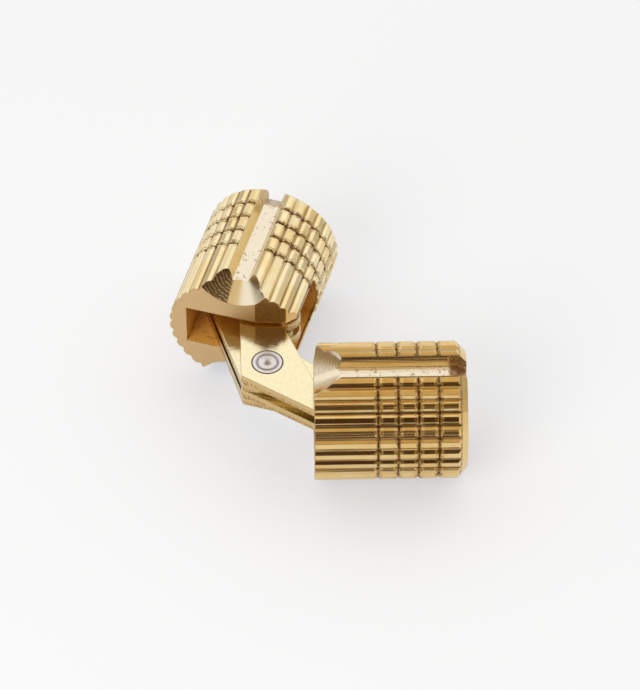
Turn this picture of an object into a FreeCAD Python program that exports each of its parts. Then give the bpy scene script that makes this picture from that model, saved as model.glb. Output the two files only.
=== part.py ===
"""Invisible barrel hinge: two fluted brass plugs joined by four crossing link plates.

Frame: the origin is the centre of the right barrel's front face, +X runs along that barrel to its back,
+Y points to its inner side, where the other barrel swings, and +Z runs along the rivet and pivot pins.
The hinge stands opened by rest_opening from its shut pose. Everything on the left is the right-hand piece
turned half a turn about the line that halves the angle between the barrels.
"""
import FreeCAD, Part
import math
import os

# Barrel: a length of fluted bar, turned and milled, in millimetres
barrel_diameter = 14.0
barrel_length = 15.5
flute_count = 32
flute_phase = 0.5
flute_depth = 0.27
flute_land = 0.55
flute_floor = 0.16
back_chamfer_length = 1.0
back_chamfer_height = 1.0
ring_count = 4
ring_first = 6.4
ring_pitch = 2.06
ring_depth = 0.24
ring_width = 0.42

# Screw groove along the top and the bottom of the barrel, with a seat for the screw's head at the face
screw_groove_mouth = 3.2
screw_groove_floor = 1.6
screw_groove_depth = 1.45
groove_runout_length = 1.7
groove_runout_drop = 0.9
head_seat_depth = 4.13
head_seat_drop = 0.775
head_seat_tilt = 21.1
head_seat_half_angle = 45.0

# Relief of the face towards the inner side
relief_start = 2.3
relief_angle = 14.0
relief_corner_inset = 1.6
relief_corner_angle = 50.0

# Link pocket: a wide mouth that breaks out of the inner side, and a deep channel for the link tails
pocket_depth = 7.5
pocket_corner_radius = 1.2
channel_depth = 13.6
channel_width = 4.2

# Link plates, four in a stack: A, B, A, B from the top
plate_thickness = 1.0
plate_gap = 0.05
pocket_clearance = 0.37
tail_clearance = 0.22
pivot_end_radius = 1.4
tail_radius = 1.0
arm_angle = 115.9
heel_distance = 2.75
heel_turn = 18.2
heel_overhang = 1.14
tail_edge_distance = 3.03
inner_edge_offset = 1.03
inner_edge_turn = 50.7
waist_width = 2.1
corner_radius = 0.35
heel_corner_radius = 0.8
waist_radius = 1.2
plate_edge_chamfer = 0.07

# Pivots: one pin in each barrel, and the rivet that holds the four plates together
pivot_depth = 2.4
pivot_inset = 1.97
pivot_pin_diameter = 1.2
pivot_pin_length = 7.0
pin_bury = 0.85
pin_fit = 0.01
running_clearance = 0.05
rivet_diameter = 2.0
rivet_head_diameter = 3.2
rivet_head_thickness = 0.45
rivet_dimple_diameter = 0.9
rivet_dimple_depth = 0.22
rivet_ring_diameter = 2.1
rivet_ring_width = 0.24
rivet_ring_depth = 0.07

# Motion: the rivet's place when shut, the pose shown, and each pivot's share of the opening
closed_gap = 0.2
rivet_offset_shut = 1.57
rest_opening = 107.4
pivot_share = 0.644

barrel_radius = barrel_diameter / 2
plate_pitch = plate_thickness + plate_gap
stack_height = 4 * plate_thickness + 3 * plate_gap
pocket_height = stack_height + 2 * pocket_clearance
pivot_offset = barrel_radius - pivot_inset
tail_arm = pivot_offset + barrel_radius
beyond = barrel_diameter

X_AXIS = FreeCAD.Vector(1, 0, 0)
Z_AXIS = FreeCAD.Vector(0, 0, 1)


def polar(angle, radius):
    """The point at an angle in degrees and a radius, in the XY plane."""
    turn = math.radians(angle)
    return FreeCAD.Vector(radius * math.cos(turn), radius * math.sin(turn), 0)


def heading(vector):
    """The direction of a vector in the XY plane, in degrees."""
    return math.degrees(math.atan2(vector.y, vector.x))


def prism(points, along):
    """A closed outline of straight edges, extruded by a vector."""
    return Part.Face(Part.makePolygon(points + points[:1])).extrude(along)


# Where the pivots and the rivet stand. The shut rivet lies halfway between the two faces, and opening the hinge
# turns the B links about the right pivot by pivot_share of the opening.
right_pivot = FreeCAD.Vector(pivot_depth, pivot_offset, 0)
pin_foot = right_pivot - Z_AXIS * (pocket_height / 2 + pin_bury)
shut_rivet = FreeCAD.Vector(-closed_gap / 2, -rivet_offset_shut, 0)
pivot_arm = right_pivot.distanceToPoint(shut_rivet)
rivet_centre = right_pivot + polar(heading(shut_rivet - right_pivot) - pivot_share * rest_opening, pivot_arm)
halving_angle = (180.0 - rest_opening) / 2


def to_left(shape):
    """The left-hand copy of a right-hand shape."""
    copy = shape.copy()
    copy.rotate(rivet_centre, polar(halving_angle, 1), 180)
    return copy


def tail_path():
    """Places of a link tail's centre in the right barrel, from shut to fully open."""
    shut_heading = heading(right_pivot - shut_rivet) + arm_angle
    places = []
    for opening in range(0, 181, 5):
        rivet_heading = heading(shut_rivet - right_pivot) - pivot_share * opening
        rivet = right_pivot + polar(rivet_heading, pivot_arm)
        tail_heading = 180.0 - shut_heading - (1 - pivot_share) * opening
        places.append(rivet + polar(tail_heading, tail_arm))
    return places


# The pocket's outer wall stands clear of the furthest place that a tail reaches.
pocket_wall = min(place.y for place in tail_path()) - tail_radius - tail_clearance


def fluted_bar():
    """Drawn bar: flat lands with a narrow-bottomed groove between each pair."""
    pitch = 360.0 / flute_count
    land = math.degrees(flute_land / barrel_radius)
    floor = math.degrees(flute_floor / barrel_radius)
    points = []
    for flute in range(flute_count):
        middle = (flute + flute_phase) * pitch
        stations = [
            (middle - land / 2, barrel_radius),
            (middle + land / 2, barrel_radius),
            (middle + pitch / 2 - floor / 2, barrel_radius - flute_depth),
            (middle + pitch / 2 + floor / 2, barrel_radius - flute_depth),
        ]
        for angle, radius in stations:
            flat = polar(angle, radius)
            points.append(FreeCAD.Vector(0, flat.x, flat.y))
    return prism(points, X_AXIS * barrel_length)


def around(shape):
    """A cutter for the top land, repeated for every land of the bar."""
    copies = []
    for flute in range(flute_count):
        copy = shape.copy()
        copy.rotate(FreeCAD.Vector(0, 0, 0), X_AXIS, (flute + flute_phase) * 360.0 / flute_count)
        copies.append(copy)
    return copies


def land_cutter(outline):
    """A profile of places along the bar and radii, drawn across the top land and its two flute walls."""
    half_width = (barrel_radius - flute_depth) * math.tan(math.pi / flute_count)
    points = [FreeCAD.Vector(x, -half_width, radius) for x, radius in outline]
    return prism(points, FreeCAD.Vector(0, 2 * half_width, 0))


def ring_cutters():
    """Ring grooves: a V across each land, shallower than the flutes."""
    clear_radius = barrel_radius + flute_depth
    clear_width = ring_width * (ring_depth + flute_depth) / ring_depth
    cutters = []
    for ring in range(ring_count):
        place = ring_first + ring * ring_pitch
        outline = [
            (place - clear_width / 2, clear_radius),
            (place, barrel_radius - ring_depth),
            (place + clear_width / 2, clear_radius),
        ]
        cutters += around(land_cutter(outline))
    return cutters


def chamfered_end():
    """Tapered many-sided form that leaves the chamfer at the back edge."""
    slope = back_chamfer_height / back_chamfer_length
    sections = []
    for x in (-1.0, barrel_length):
        radius = barrel_radius - back_chamfer_height + slope * (barrel_length - x)
        corner = radius / math.cos(math.pi / flute_count)
        first = flute_phase + 0.5
        turned = [polar((flute + first) * 360.0 / flute_count, corner) for flute in range(flute_count)]
        points = [FreeCAD.Vector(x, place.x, place.y) for place in turned]
        sections.append(Part.makePolygon(points + points[:1]))
    return Part.makeLoft(sections, True, True)


def screw_groove(side):
    """Trapezoid groove that takes half of a fixing screw; side is +1 at the top and -1 at the bottom."""
    floor_height = barrel_radius - screw_groove_depth
    flare = (screw_groove_mouth - screw_groove_floor) / 2 / screw_groove_depth
    top = barrel_radius + flute_depth
    half_top = screw_groove_floor / 2 + flare * (top - floor_height)
    points = [
        FreeCAD.Vector(-1, -half_top, side * top),
        FreeCAD.Vector(-1, -screw_groove_floor / 2, side * floor_height),
        FreeCAD.Vector(-1, screw_groove_floor / 2, side * floor_height),
        FreeCAD.Vector(-1, half_top, side * top),
    ]
    return prism(points, X_AXIS * (barrel_length + 2))


def head_seat(side):
    """Seat for the screw's head, where the groove meets the face: a cone sunk at a slant."""
    tilt = math.radians(head_seat_tilt)
    tip = FreeCAD.Vector(head_seat_depth, 0, side * (barrel_radius - head_seat_drop))
    out = FreeCAD.Vector(-math.cos(tilt), 0, side * math.sin(tilt))
    return Part.makeCone(0, beyond * math.tan(math.radians(head_seat_half_angle)), beyond, tip, out)


def groove_runout(side):
    """Wedge that drops the groove's floor where it runs out of the back."""
    floor_height = barrel_radius - screw_groove_depth
    half_width = screw_groove_floor / 2
    fall = groove_runout_drop / groove_runout_length
    start = barrel_length - groove_runout_length
    end = barrel_length + 1
    outline = [
        (start, floor_height),
        (end, floor_height - fall * (end - start)),
        (end, floor_height + half_width),
        (start, floor_height + half_width),
    ]
    points = [FreeCAD.Vector(x, -half_width, side * height) for x, height in outline]
    return prism(points, FreeCAD.Vector(0, 2 * half_width, 0))


def face_relief():
    """Wedge taken off the face towards the inner side, steeper at the corner."""
    corner = barrel_radius - relief_corner_inset
    corner_back = (corner - relief_start) * math.tan(math.radians(relief_angle))
    back = corner_back + (beyond - corner) * math.tan(math.radians(relief_corner_angle))
    points = [
        FreeCAD.Vector(-1, relief_start, -beyond),
        FreeCAD.Vector(0, relief_start, -beyond),
        FreeCAD.Vector(corner_back, corner, -beyond),
        FreeCAD.Vector(back, beyond, -beyond),
        FreeCAD.Vector(-1, beyond, -beyond),
    ]
    return prism(points, Z_AXIS * 2 * beyond)


def link_pocket():
    """Pocket for the link stack, with rounded corners at its deep ends."""
    channel_wall = pocket_wall + channel_width
    low = -pocket_height / 2
    outline = [
        (-1, pocket_wall),
        (channel_depth, pocket_wall),
        (channel_depth, channel_wall),
        (pocket_depth, channel_wall),
        (pocket_depth, beyond),
        (-1, beyond),
    ]
    solid = prism([FreeCAD.Vector(x, y, low) for x, y in outline], Z_AXIS * pocket_height)
    deep_corners = [
        edge
        for edge in solid.Edges
        if abs(edge.Vertexes[0].Point.x - channel_depth) < 1e-6
        and abs(edge.Vertexes[-1].Point.x - channel_depth) < 1e-6
        and abs(edge.Vertexes[0].Point.y - edge.Vertexes[-1].Point.y) < 1e-6
    ]
    return solid.makeFillet(pocket_corner_radius, deep_corners)


def pivot_hole():
    """Blind hole for the pivot pin, drilled from the top."""
    return Part.makeCylinder(pivot_pin_diameter / 2 + pin_fit, barrel_diameter, pin_foot, Z_AXIS)


def barrel():
    """One barrel, at the right-hand place."""
    solid = fluted_bar().common(chamfered_end()).cut(ring_cutters())
    cuts = [screw_groove(1), screw_groove(-1), head_seat(1), head_seat(-1)]
    cuts += [groove_runout(1), groove_runout(-1), face_relief(), link_pocket(), pivot_hole()]
    return solid.cut(cuts)


def pivot_pin():
    """Plain pin that stands on the floor of its blind hole."""
    return Part.makeCylinder(pivot_pin_diameter / 2, pivot_pin_length, pin_foot, Z_AXIS)


def meet(first_normal, first_distance, second_normal, second_distance):
    """Where two lines cross, each given by its normal's direction and its distance from the rivet."""
    first = polar(first_normal, 1)
    second = polar(second_normal, 1)
    span = first.x * second.y - first.y * second.x
    return FreeCAD.Vector(
        (first_distance * second.y - second_distance * first.y) / span,
        (second_distance * first.x - first_distance * second.x) / span,
        0,
    )


def touch(start, centre, radius, side):
    """Where a line from start touches a circle; side is +1 to pass with the circle on its right."""
    span = centre - start
    bend = math.degrees(math.asin(radius / span.Length))
    along = math.sqrt(span.Length**2 - radius**2)
    return start + polar(heading(span) + side * bend, along)


def link_outline():
    """Corners of a link plate about its rivet, with the barrel pivot along +X and the tail turned left of it."""
    pivot = FreeCAD.Vector(pivot_arm, 0, 0)
    tail = polar(arm_angle, tail_arm)
    heel_normal = -90.0 - heel_turn
    tail_taper = math.degrees(math.asin((tail_edge_distance - tail_radius) / tail_arm))
    tail_normal = arm_angle + 90.0 - tail_taper
    corner = meet(heel_normal, heel_distance, tail_normal, tail_edge_distance)
    heel = polar(heel_normal, heel_distance) + polar(-heel_turn, pivot_arm + heel_overhang)
    pivot_start = touch(heel, pivot, pivot_end_radius, -1)
    inner_edge_distance = pivot.dot(polar(inner_edge_turn, 1)) - inner_edge_offset
    back = math.sqrt(pivot_end_radius**2 - inner_edge_offset**2)
    inner_along = polar(inner_edge_turn - 90.0, 1)
    pivot_end = pivot - polar(inner_edge_turn, inner_edge_offset) - inner_along * back
    waist = meet(inner_edge_turn, inner_edge_distance, tail_normal, tail_edge_distance - waist_width)
    tail_start = touch(waist, tail, tail_radius, -1)
    tail_end = tail + polar(tail_normal, tail_radius)
    return {
        "pivot": pivot,
        "tail": tail,
        "corner": corner,
        "heel": heel,
        "pivot_start": pivot_start,
        "pivot_end": pivot_end,
        "waist": waist,
        "tail_start": tail_start,
        "tail_end": tail_end,
    }


def round_end(start, end, centre, radius):
    """The outer arc of a link's end, counter-clockwise from start to end."""
    first = heading(start - centre)
    sweep = (heading(end - centre) - first) % 360.0
    return Part.Arc(start, centre + polar(first + sweep / 2, radius), end).toShape()


def blank():
    """A stamped plate about its rivet, standing on Z = 0, before its holes."""
    at = link_outline()
    edges = [
        Part.makeLine(at["corner"], at["heel"]),
        Part.makeLine(at["heel"], at["pivot_start"]),
        round_end(at["pivot_start"], at["pivot_end"], at["pivot"], pivot_end_radius),
        Part.makeLine(at["pivot_end"], at["waist"]),
        Part.makeLine(at["waist"], at["tail_start"]),
        round_end(at["tail_start"], at["tail_end"], at["tail"], tail_radius),
        Part.makeLine(at["tail_end"], at["corner"]),
    ]
    plate = Part.Face(Part.Wire(edges)).extrude(Z_AXIS * plate_thickness)
    radii = {"corner": corner_radius, "heel": heel_corner_radius, "waist": waist_radius}
    for name, radius in radii.items():
        uprights = [
            edge
            for edge in plate.Edges
            if all(math.dist(vertex.Point[:2], at[name][:2]) < 1e-5 for vertex in edge.Vertexes)
        ]
        plate = plate.makeFillet(radius, uprights)
    rims = [
        edge
        for edge in plate.Edges
        if abs(edge.BoundBox.ZLength) < 1e-6
    ]
    return plate.makeChamfer(plate_edge_chamfer, rims)


def link_plate(rivet_fit, headed):
    """A plate with its two holes; a headed plate also has the rivet head's counterbore, on its lower face."""
    pivot_radius = pivot_pin_diameter / 2 + running_clearance
    holes = [
        Part.makeCylinder(pivot_radius, plate_thickness, link_outline()["pivot"]),
        Part.makeCylinder(rivet_diameter / 2 + rivet_fit, plate_thickness),
    ]
    if headed:
        seat_depth = rivet_head_thickness + rivet_fit
        holes.append(Part.makeCylinder(rivet_head_diameter / 2 + running_clearance, seat_depth))
    return blank().cut(holes)


def placed_link(plate, layer):
    """A plate at the B links' place; layer counts down from 0 at the top of the stack."""
    copy = plate.copy()
    copy.rotate(FreeCAD.Vector(0, 0, 0), Z_AXIS, heading(right_pivot - rivet_centre))
    lift = stack_height / 2 - plate_thickness - layer * plate_pitch
    copy.translate(rivet_centre + Z_AXIS * lift)
    return copy


def centre_rivet():
    """Steel rivet with a flush head at each end, a turned ring and a centre dimple in both."""
    half = stack_height / 2
    head = rivet_head_diameter / 2
    ring = rivet_ring_diameter / 2
    quarter = [
        (0, half - rivet_dimple_depth),
        (rivet_dimple_diameter / 2, half),
        (ring - rivet_ring_width / 2, half),
        (ring, half - rivet_ring_depth),
        (ring + rivet_ring_width / 2, half),
        (head, half),
        (head, half - rivet_head_thickness),
        (rivet_diameter / 2, half - rivet_head_thickness),
    ]
    lower = [(radius, -height) for radius, height in reversed(quarter)]
    points = [FreeCAD.Vector(radius, 0, height) for radius, height in quarter + lower]
    face = Part.Face(Part.makePolygon(points + points[:1]))
    solid = face.revolve(FreeCAD.Vector(0, 0, 0), Z_AXIS, 360)
    solid.translate(rivet_centre)
    return solid


right_barrel = barrel()
right_pivot_pin = pivot_pin()
link_b_upper = placed_link(link_plate(running_clearance, False), 1)
link_b_lower = placed_link(link_plate(running_clearance, True), 3)

# The rivet turns with the A links, so these grip it closely. The half turn puts layer 3 at the top of the stack.
link_a_upper = to_left(placed_link(link_plate(pin_fit, True), 3))
link_a_lower = to_left(placed_link(link_plate(pin_fit, False), 1))

nodes = {
    "right_barrel": right_barrel,
    "left_barrel": to_left(right_barrel),
    "right_pivot_pin": right_pivot_pin,
    "left_pivot_pin": to_left(right_pivot_pin),
    "link_a_upper": link_a_upper,
    "link_b_upper": link_b_upper,
    "link_a_lower": link_a_lower,
    "link_b_lower": link_b_lower,
    "centre_rivet": centre_rivet(),
}

os.makedirs("parts", exist_ok=True)
for name, shape in nodes.items():
    shape.exportStep("parts/" + name + ".step")
    print(name, "valid" if shape.isValid() else "not valid", len(shape.Solids), "solid", round(shape.Volume, 3))

left_pivot = to_left(Part.Vertex(right_pivot)).Point
for name, place in (("right pivot", right_pivot), ("rivet", rivet_centre), ("left pivot", left_pivot)):
    print(name, round(place.x, 5), round(place.y, 5))
print("pocket wall", round(pocket_wall, 3), "pocket height", round(pocket_height, 3))
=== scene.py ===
import math

import bmesh
import bpy
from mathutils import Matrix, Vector


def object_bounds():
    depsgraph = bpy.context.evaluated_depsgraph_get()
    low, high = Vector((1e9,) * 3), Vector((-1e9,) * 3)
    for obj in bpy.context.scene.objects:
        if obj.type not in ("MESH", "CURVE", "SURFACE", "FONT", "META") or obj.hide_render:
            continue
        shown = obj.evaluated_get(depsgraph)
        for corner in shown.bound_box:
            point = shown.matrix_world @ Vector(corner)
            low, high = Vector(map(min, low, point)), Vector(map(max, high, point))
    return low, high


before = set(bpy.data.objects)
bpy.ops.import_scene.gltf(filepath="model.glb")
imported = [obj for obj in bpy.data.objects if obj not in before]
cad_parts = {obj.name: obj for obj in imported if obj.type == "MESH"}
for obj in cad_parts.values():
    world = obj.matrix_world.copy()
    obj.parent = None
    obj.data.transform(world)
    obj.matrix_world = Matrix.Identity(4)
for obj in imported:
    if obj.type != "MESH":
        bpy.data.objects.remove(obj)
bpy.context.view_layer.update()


# The two barrels are cut from drawn fluted brass bar, turned with four rings and a chamfer at the back, then
# milled: a groove and a conical seat for a screw at the top and the bottom, and the pocket for the links.
# The metal is bare, so the flutes hold a brown tarnish, shown darker with painted shade in the flute and ring
# bottoms, and every cutter has left its own marks.
millimetre = 0.001
softened_edge = 0.1 * millimetre
origin = (0.0, 0.0, 0.0)
even = (1.0, 1.0, 1.0)


class Wire:
    """One output in a node tree. Arithmetic on it adds Math nodes, and make adds a node of any kind."""

    def __init__(self, tree, socket=None):
        self.tree = tree
        self.socket = socket

    def make(self, kind, settings, sockets, output=0):
        """Adds a node: its settings first, then the values or links of its sockets. Returns one output."""
        node = self.tree.nodes.new("ShaderNode" + kind)
        for name, value in settings.items():
            if name == "stops":
                ramp = node.color_ramp
                for place, colour in value[1:-1]:
                    ramp.elements.new(place).color = colour
                ends = zip((ramp.elements[0], ramp.elements[-1]), (value[0], value[-1]))
                for element, (place, colour) in ends:
                    element.position = place
                    element.color = colour
            else:
                setattr(node, name, value)
        for name, value in sockets.items():
            if isinstance(value, Wire):
                self.tree.links.new(value.socket, node.inputs[name])
            else:
                node.inputs[name].default_value = value
        return Wire(self.tree, node.outputs[output])

    def feed(self, node, name):
        """Links this value to a socket of a node."""
        self.tree.links.new(self.socket, node.inputs[name])

    def math(self, operation, first, second=0.0):
        return self.make("Math", {"operation": operation}, {0: first, 1: second})

    def __add__(self, other):
        return self.math("ADD", self, other)

    def __radd__(self, other):
        return self.math("ADD", other, self)

    def __sub__(self, other):
        return self.math("SUBTRACT", self, other)

    def __rsub__(self, other):
        return self.math("SUBTRACT", other, self)

    def __mul__(self, other):
        return self.math("MULTIPLY", self, other)

    def __rmul__(self, other):
        return self.math("MULTIPLY", other, self)

    def __pow__(self, other):
        return self.math("POWER", self, other)

    def __abs__(self):
        return self.math("ABSOLUTE", self)

    def __lt__(self, other):
        return self.math("LESS_THAN", self, other)

    def __gt__(self, other):
        return self.math("GREATER_THAN", self, other)

    def least(self, other):
        return self.math("MINIMUM", self, other)

    def most(self, other):
        return self.math("MAXIMUM", self, other)

    def sine(self):
        return self.math("SINE", self)

    def apart(self, pitch):
        """How far this value is from the nearest multiple of the pitch."""
        return self.math("PINGPONG", self, pitch / 2)

    def between(self, low, high):
        """1 from low to high and 0 elsewhere."""
        return (self > low) * (self < high)

    def ease(self, low, high):
        """0 below low, 1 above high and a smooth step between them."""
        settings = {"interpolation_type": "SMOOTHSTEP"}
        return self.make("MapRange", settings, {"Value": self, "From Min": low, "From Max": high})

    def blend(self, colour, other):
        """The first colour where this value is 0 and the other where it is 1."""
        return self.make("Mix", {"data_type": "RGBA"}, {0: self, 6: colour, 7: other}, 2)

    def axis(self, index):
        """One coordinate of a place or a direction."""
        return self.make("SeparateXYZ", {}, {0: self}, index)

    def noise(self, stretch, scale, detail):
        """Noise about this place in millimetres, finer along the axes that are stretched more."""
        stretched = self.make("VectorMath", {"operation": "MULTIPLY"}, {0: self, 1: stretch})
        return self.make("TexNoise", {}, {"Vector": stretched, "Scale": scale, "Detail": detail})

    def normal(self, strength):
        """The normal of a surface with marks of this height in millimetres and slightly broken edges."""
        edges = self.make("Bevel", {"samples": 4}, {"Radius": softened_edge})
        sockets = {"Strength": strength, "Distance": millimetre, "Height": self, "Normal": edges}
        return self.make("Bump", {}, sockets)


def bare_metal(name, centre, turn):
    """A new metal: its material, its shader, and the place in millimetres on axes at this centre and turn."""
    material = bpy.data.materials.new(name)
    material.use_nodes = True
    shader = material.node_tree.nodes["Principled BSDF"]
    shader.inputs["Metallic"].default_value = 1.0
    place = Wire(material.node_tree).make("TexCoord", {}, {}, "Object")
    sockets = {"Vector": place, "Location": centre, "Rotation": turn}
    own = place.make("Mapping", {"vector_type": "TEXTURE"}, sockets)
    own = own.make("VectorMath", {"operation": "SCALE"}, {0: own, "Scale": 1.0 / millimetre})
    return material, shader, own


# sizes of a barrel in millimetres: along it from its face, to its inner side, up, and out from its axis
barrel_length = 15.5
flank_radius = 6.6
touching, seat_touching = 0.03, 0.05
flute_bottom, flute_wall = 6.735, 6.82
seat_along, seat_up, seat_slant = 4.13, 6.225, math.radians(21.1)
# where one side of the seat is painted dark, as a painted reflection
dark_side_start, dark_side_full = 0.55, 0.85
relief_side, relief_slope, relief_edge = 2.3, math.tan(math.radians(14.0)), 0.02
corner_side, corner_slope = 5.4, math.tan(math.radians(50.0))
groove_floor, groove_half_width, groove_flare = 5.55, 0.8, 0.8 / 1.45
groove_lowest, floor_start, floor_end = 4.5, 5.56, 5.66
runout_start, runout_full = 13.5, 13.9
pocket_half_height, pocket_radius, pocket_end = 2.47, 6.5, 14.5
ring_first, ring_pitch = 6.4, 2.06
rings_start, rings_end = 6.0, 13.0
ring_cut, ring_lip = 0.08, 0.26
burr_start, burr_end = 0.22, 0.55
ring_bottom, ring_wall = 6.78, 6.92

# the cutters' lines in radians for each millimetre, and how far the lines in the seat stray
cutter_lines = 24.0
line_wander = 11.0

# colours of the bare brass, of what lies on it and what each cutter left, and of painted light: shade in the
# flutes and rings, a glow in the pocket, a dark reflection in each seat and a highlight on the left barrel
yellow = (0.78, 0.54, 0.215, 1)
warm = (0.82, 0.605, 0.28, 1)
# painted highlight: the left barrel's two colours are paler than the right one's, for the brighter light on it
golden = (0.88, 0.68, 0.34, 1)
pale = (0.91, 0.77, 0.48, 1)
# tarnish, with painted shade in the flute and ring bottoms
tarnish_and_shade_brown = (0.20, 0.085, 0.03, 1)
groove_straw = (0.84, 0.72, 0.48, 1)
floor_cream = (0.82, 0.73, 0.57, 1)
seat_cream = (0.96, 0.86, 0.69, 1)
# painted reflection: the dark side of each seat
seat_dark_reflection_brown = (0.16, 0.10, 0.075, 1)
runout_copper = (0.58, 0.33, 0.12, 1)
groove_dirt = (0.30, 0.14, 0.05, 1)
# painted glow: the pocket's bright orange stands in for light bounced around inside it
pocket_painted_glow = (1.0, 0.56, 0.13, 1)
pocket_pits = (0.30, 0.14, 0.03, 1)
back_tan = (0.80, 0.60, 0.31, 1)
sawn_tan = (0.74, 0.52, 0.27, 1)
relief_amber = (0.98, 0.63, 0.25, 1)


def barrel_brass(name, face_centre, turn, dull, bright, dark_reflection_side, dark_reflection_depth, burnt):
    """Bare brass of one barrel; face_centre and turn put the pattern on that barrel's own axes.

    The metal wanders between the dull and the bright colour. One side of each barrel's seat is painted dark
    brown as a painted reflection of the darker things it faces, with the cutter's chatter lines in it:
    dark_reflection_side is 1 for the inner and -1 for the outer side, and dark_reflection_depth says how dark
    that painted reflection is.
    burnt says how brown the end of the groove is.
    """
    material, shader, own = bare_metal(name, face_centre, turn)
    along = own.axis(0)
    side = own.axis(1)
    up = abs(own.axis(2))
    radius = (side * side + up * up) ** 0.5

    # how far a point is from the seat's cone, whose tip lies in the groove and whose half angle is 45 degrees
    ahead = along - seat_along
    above = up - seat_up
    reach = above * math.sin(seat_slant) - ahead * math.cos(seat_slant)
    span = ahead * ahead + side * side + above * above
    seat_gap = (span - reach * reach).most(0.0) ** 0.5 - reach

    # where each surface is
    relieved = side.ease(relief_side - relief_edge, relief_side + relief_edge)
    relief_depth = (side - relief_side).most(0.0) * relief_slope
    corner_depth = (side - corner_side).most(0.0) * (corner_slope - relief_slope)
    face = along - relief_depth - corner_depth < touching
    seat = (seat_gap < seat_touching) * (1.0 - face)
    wall = groove_half_width + touching + (up - groove_floor).most(0.0) * groove_flare
    groove = (abs(side) < wall) * (up > groove_lowest) * (1.0 - seat)
    floor = groove * (1.0 - up.ease(floor_start, floor_end))
    runout = groove * along.ease(runout_start, runout_full)
    inside = (up < pocket_half_height) * (radius < pocket_radius) * (along < pocket_end) * (1.0 - face)
    back = along > barrel_length - touching
    flank = (radius > flank_radius) * (1.0 - groove) * (1.0 - seat) * (1.0 - face)
    ring_gap = (along - ring_first).apart(ring_pitch)
    near_rings = along.between(rings_start, rings_end) * flank
    ringed = (1.0 - ring_gap.ease(ring_cut, ring_lip)) * near_rings
    ragged = (1.0 - ring_gap.ease(burr_start, burr_end)) * near_rings
    flute_floor = (1.0 - radius.ease(flute_bottom, flute_wall)) * flank
    ring_floor = (1.0 - radius.ease(ring_bottom, ring_wall)) * ringed
    # one side of the seat, which gets a painted dark reflection and the cutter's chatter lines
    chatter_and_dark_reflection = seat * (side * dark_reflection_side).ease(dark_side_start, dark_side_full)

    # the marks of drawing, milling, turning and sawing
    drawn = own.noise((0.08, 3.0, 3.0), scale=1.6, detail=1.5)
    milled = own.noise((3.5, 0.5, 3.5), scale=1.3, detail=3.0)
    faced = own.noise((1.0, 0.6, 5.0), scale=2.4, detail=2.0)
    pits = own.noise(even, scale=2.6, detail=3.0)
    burr = own.noise(even, scale=4.0, detail=2.0)
    patches = own.noise(even, scale=0.35, detail=2.0)
    wander = own.noise(even, scale=1.5, detail=3.0) * line_wander
    turned = (reach * cutter_lines + wander).sine()
    back_rings = (radius * cutter_lines).sine()

    # colour: bright lands, brown tarnish with painted shade in the flutes and rings, matt tan on the sawn
    # face, a painted glow in the pocket and a painted dark reflection in the seat; each coat covers the last
    tarnish_and_shade = flute_floor * (0.2 + 0.5 * drawn.ease(0.35, 0.6)) + ragged * pits.ease(0.53, 0.62) * 0.6
    tarnish_and_shade = tarnish_and_shade + ring_floor * burr.ease(0.30, 0.55) * 0.8
    # painted reflection: that side of the seat is painted dark brown, lighter along the cutter's lines
    seat_dark_reflection = chatter_and_dark_reflection * dark_reflection_depth * (1.0 - 0.6 * turned.ease(0.1, 0.9) * burr.ease(0.3, 0.6))
    dirt = floor * pits.ease(0.60, 0.66) * 0.5 + runout * burr.ease(0.35, 0.6) * burnt
    colour = patches.ease(0.35, 0.65).blend(dull, bright)
    coats = [
        # partly real tarnish and burrs, partly painted shade in the flute and ring bottoms
        (tarnish_and_shade.least(1.0), tarnish_and_shade_brown),
        (groove * 0.6, groove_straw),
        (floor, floor_cream),
        (seat * 0.8, seat_cream),
        # painted dark reflection on one side of the seat
        (seat_dark_reflection, seat_dark_reflection_brown),
        (runout * burnt, runout_copper),
        (dirt.least(1.0), groove_dirt),
        # painted glow inside the pocket
        (inside, pocket_painted_glow),
        (inside * pits.ease(0.58, 0.66) * 0.6, pocket_pits),
        (back, back_tan),
        (face, relieved.blend(sawn_tan, relief_amber)),
    ]
    for cover, tint in coats:
        colour = cover.blend(colour, tint)

    # what makes the metal rougher than on the lands, and by how much
    land_roughness = 0.15
    rougher = [
        (drawn, 0.12),
        (tarnish_and_shade, 0.15),
        (ringed, 0.25),
        (runout, 0.2),
        (back, 0.15),
        (inside, 0.15),
        ((floor + inside) * pits.ease(0.55, 0.7), 0.12),
        (face, 0.30),
        (face * relieved, -0.22),
    ]
    roughness = sum((mark * amount for mark, amount in rougher), land_roughness)

    # the height of each kind of mark, in millimetres
    marks = [
        (drawn * (flank + groove), 0.020),
        (floor * pits + inside * milled, 0.025),
        (runout * burr, 0.12),
        (seat * turned * burr, 0.001),
        (chatter_and_dark_reflection * turned * burr, 0.003),
        (face * faced, 0.010),
        (ragged * pits, 0.14),
        (back * back_rings, 0.004),
    ]
    height = sum(mark * depth for mark, depth in marks)

    # the pocket is painted bright orange and shown as a diffuse, not metallic, surface: a painted glow for the
    # light bounced around inside it
    colour.feed(shader, "Base Color")
    roughness.feed(shader, "Roughness")
    (1.0 - inside).feed(shader, "Metallic")
    height.normal(strength=0.8).feed(shader, "Normal")
    return material


def wear(node, material):
    """Gives a piece of the hinge its finished material."""
    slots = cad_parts[node].material_slots
    for slot in slots:
        slot.material = material


# the right barrel lies on the frame's axes; the left one is turned over, and its metal is painted a little
# paler:
# a painted highlight, for the brighter, washed-out light on its upward-facing lands
left_face_centre = (-0.0080542, 0.0109645, 0.0)
left_turn = (math.pi, 0.0, math.radians(72.6))
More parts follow.
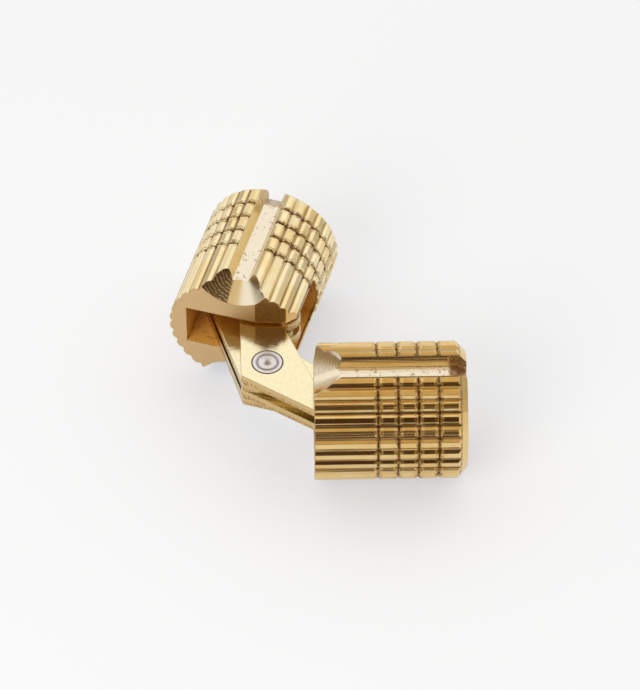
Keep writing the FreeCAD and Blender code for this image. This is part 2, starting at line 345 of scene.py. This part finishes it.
# the seat's painted dark reflection is faint on the right barrel and deep on the left one
right_brass = barrel_brass(
    "right barrel brass", origin, origin, yellow, warm,
    dark_reflection_side=1.0, dark_reflection_depth=0.3, burnt=0.6,
)
left_brass = barrel_brass(
    "left barrel brass", left_face_centre, left_turn, golden, pale,
    dark_reflection_side=-1.0, dark_reflection_depth=0.95, burnt=0.2,
)
wear("right_barrel", right_brass)
wear("left_barrel", left_brass)


# The four links are stamped from brass sheet a millimetre thick and tumbled, so their faces are pale satin.
# Their edges show the shear: a smooth band at the top and a torn, browner one below it.
# They lie crossed, one over the other, on the rivet.
stack_top = 2.075
plate_pitch = 1.05
plate_thickness = 1.0
broken_edge = 0.08
tear_start, tear_full = 0.40, 0.55
sheet_pale = (0.86, 0.75, 0.47, 1)
sheet_bright = (0.90, 0.81, 0.55, 1)
sheared_brown = (0.62, 0.37, 0.10, 1)
torn_brown = (0.30, 0.15, 0.04, 1)


def link_brass(name, top, heading):
    """Stamped sheet; top is the height of its upper face and heading the way that it was rolled."""
    material, shader, own = bare_metal(name, origin, (0.0, 0.0, heading))
    depth = top - own.axis(2)
    edge = depth.between(broken_edge, plate_thickness - broken_edge)
    torn = edge * depth.ease(tear_start, tear_full)
    rolled = own.noise((0.15, 4.0, 1.0), scale=1.4, detail=3.0)
    tumbled = own.noise(even, scale=3.2, detail=4.0)
    sheared = own.noise((5.0, 5.0, 0.4), scale=1.5, detail=3.0)
    colour = tumbled.ease(0.3, 0.7).blend(sheet_pale, sheet_bright)
    colour = (edge * 0.7).blend(colour, sheared_brown)
    colour = (torn * sheared.ease(0.4, 0.65) * 0.6).blend(colour, torn_brown)
    roughness = 0.10 + tumbled * 0.12 + torn * 0.15
    height = rolled * (1.0 - edge) * 0.010 + tumbled * 0.006 + edge * sheared * 0.04
    colour.feed(shader, "Base Color")
    roughness.feed(shader, "Roughness")
    height.normal(strength=0.7).feed(shader, "Normal")
    return material


a_heading, b_heading = math.radians(-25.0), math.radians(10.0)
for layer, node in enumerate(("link_a_upper", "link_b_upper", "link_a_lower", "link_b_lower")):
    heading = (a_heading, b_heading)[layer % 2]
    wear(node, link_brass(node.replace("_", " "), stack_top - layer * plate_pitch, heading))


# The rivet is bright steel, turned with a ring and a centre mark in each end and spread flush with the links.
# The two pivot pins are cut from drawn steel wire and pressed into the barrels.
rivet_centre = (-0.0046576, 0.0050191, 0.0)
right_pin_centre = (0.0024, 0.00503, 0.0)
left_pin_centre = (-0.0025367, 0.0117505, 0.0)
ring_radius, ring_line, ring_fade = 1.07, 0.08, 0.20
rim_start, rim_full = 1.46, 1.56
mark_radius, mark_fade = 0.20, 0.34
fine_lines = 42.0
steel_bright = (0.78, 0.74, 0.74, 1)
steel_shaded = (0.48, 0.43, 0.47, 1)
rim_brown = (0.16, 0.11, 0.08, 1)
mark_grey = (0.36, 0.33, 0.33, 1)


def turned_steel(name, centre):
    """Steel that was turned about an upright axis through centre; the ring and the centre mark are darker."""
    material, shader, own = bare_metal(name, centre, origin)
    across = own.axis(0)
    behind = own.axis(1)
    radius = (across * across + behind * behind) ** 0.5
    turned = (radius * fine_lines).sine()
    grain = own.noise(even, scale=2.5, detail=4.0)
    ring = 1.0 - abs(radius - ring_radius).ease(ring_line, ring_fade)
    rim = radius.ease(rim_start, rim_full)
    mark = 1.0 - radius.ease(mark_radius, mark_fade)
    colour = ring.blend(steel_bright, steel_shaded)
    colour = rim.blend(colour, rim_brown)
    colour = mark.blend(colour, mark_grey)
    roughness = 0.26 + grain * 0.16 + ring * 0.1 + mark * 0.3
    height = turned * 0.004 + grain * 0.01
    colour.feed(shader, "Base Color")
    roughness.feed(shader, "Roughness")
    (1.0 - mark * 0.8).feed(shader, "Metallic")
    height.normal(strength=0.7).feed(shader, "Normal")
    return material


wear("centre_rivet", turned_steel("rivet steel", rivet_centre))
wear("right_pivot_pin", turned_steel("right pin steel", right_pin_centre))
wear("left_pivot_pin", turned_steel("left pin steel", left_pin_centre))


# The table is a plain sheet of white paper that the hinge lies on.
# The eye and the metal see it white, and it keeps the hinge's shadow.
table_half_size = 1.2
paper_grey = (0.66, 0.66, 0.66, 1)
paper_glow = (0.37, 0.41, 0.475, 1)
no_glow = (0.0, 0.0, 0.0, 1)
table_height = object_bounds()[0][2]
table_mesh = bmesh.new()
bmesh.ops.create_grid(table_mesh, x_segments=1, y_segments=1, size=table_half_size)
bmesh.ops.translate(table_mesh, verts=table_mesh.verts, vec=(0.0, 0.0, table_height))
table_data = bpy.data.meshes.new("table")
table_mesh.to_mesh(table_data)
table_mesh.free()
table = bpy.data.objects.new("table", table_data)
bpy.context.collection.objects.link(table)
paper = bpy.data.materials.new("white paper")
paper.use_nodes = True
paper_shader = paper.node_tree.nodes["Principled BSDF"]
paper_shader.inputs["Base Color"].default_value = paper_grey
paper_shader.inputs["Roughness"].default_value = 0.9
paper_shader.inputs["Specular IOR Level"].default_value = 0.1
paper_shader.inputs["Emission Strength"].default_value = 1.0
ray = Wire(paper.node_tree)
seen = ray.make("LightPath", {}, {}, "Is Camera Ray") + ray.make("LightPath", {}, {}, "Is Glossy Ray")
seen = (seen + ray.make("LightPath", {}, {}, "Is Transmission Ray")).least(1.0)
seen.blend(no_glow, paper_glow).feed(paper_shader, "Emission Color")
table_data.materials.append(paper)


# Two square soft lights stand in the studio, a weak one behind the hinge and a stronger one in front of it.
# The front one fills the pockets and the table only, so that it makes no hot spot on the metal.
def softbox(name, place, target, size, power):
    """A square soft light at a place, aimed at a target; returns it."""
    data = bpy.data.lights.new(name, "AREA")
    data.size = size
    data.energy = power
    lamp = bpy.data.objects.new(name, data)
    lamp.location = place
    lamp.rotation_euler = (Vector(target) - Vector(place)).to_track_quat("-Z", "Y").to_euler()
    bpy.context.collection.objects.link(lamp)
    return lamp


hinge_middle = (0.0, 0.010, 0.0)
softbox("key", (0.10, 0.32, 0.40), hinge_middle, size=0.50, power=0.1)
fill = softbox("fill", (-0.30, -0.40, 0.30), hinge_middle, size=0.40, power=1.4)
fill.visible_glossy = False


# The studio's walls are the world: pale behind the hinge, and warm and dim in front of it, where the camera
# stands. One dark patch there gives the flutes their dark lines.
ceiling_tan = (0.56, 0.44, 0.26, 1)
patch_dark = (0.05, 0.025, 0.015, 1)
patch_rise, patch_front = 0.54, 0.84
patch_edge, patch_core = 0.86, 0.90
front_end, back_start = -0.35, 0.25
pale_wall = [
    (0.0, (0.42, 0.40, 0.36, 1)),
    (0.28, (0.46, 0.44, 0.40, 1)),
    (0.48, (0.78, 0.78, 0.77, 1)),
    (0.85, (0.80, 0.79, 0.77, 1)),
    (0.97, ceiling_tan),
]
dim_wall = [
    (0.0, (0.22, 0.15, 0.08, 1)),
    (0.3, (0.30, 0.22, 0.11, 1)),
    (0.8, (0.44, 0.35, 0.17, 1)),
    (0.97, ceiling_tan),
]
world = bpy.data.worlds.new("studio")
bpy.context.scene.world = world
world.use_nodes = True
direction = Wire(world.node_tree).make("TexCoord", {}, {}, "Generated")
behind = direction.axis(1)
rise = direction.axis(2)
pale_light = rise.make("ValToRGB", {"stops": pale_wall}, {"Fac": rise})
dim_light = rise.make("ValToRGB", {"stops": dim_wall}, {"Fac": rise})
room = behind.ease(front_end, back_start).blend(dim_light, pale_light)
towards_patch = rise * patch_rise - behind * patch_front
room = towards_patch.ease(patch_edge, patch_core).blend(room, patch_dark)
background = world.node_tree.nodes["Background"]
room.feed(background, "Color")
background.inputs["Strength"].default_value = 1.25


# The camera stands in front of the right barrel and looks down at the rivet.
# It has a long lens, so the barrels taper only a little.
eye_azimuth = math.radians(1.176)
eye_height = math.radians(47.08)
eye_distance = 0.4748
aim = Vector((0.00081, 0.00867, 0.00060))
sight = Vector((
    math.sin(eye_azimuth) * math.cos(eye_height),
    math.cos(eye_azimuth) * math.cos(eye_height),
    -math.sin(eye_height),
))
lens = bpy.data.cameras.new("camera")
lens.sensor_fit = "HORIZONTAL"
lens.sensor_width = 36.0
lens.lens = 258.7
lens.clip_start = 0.01
camera = bpy.data.objects.new("camera", lens)
camera.location = aim - sight * eye_distance
camera.rotation_euler = sight.to_track_quat("-Z", "Y").to_euler()
bpy.context.collection.objects.link(camera)
bpy.context.scene.camera = camera
bpy.context.scene.view_settings.view_transform = "Standard"
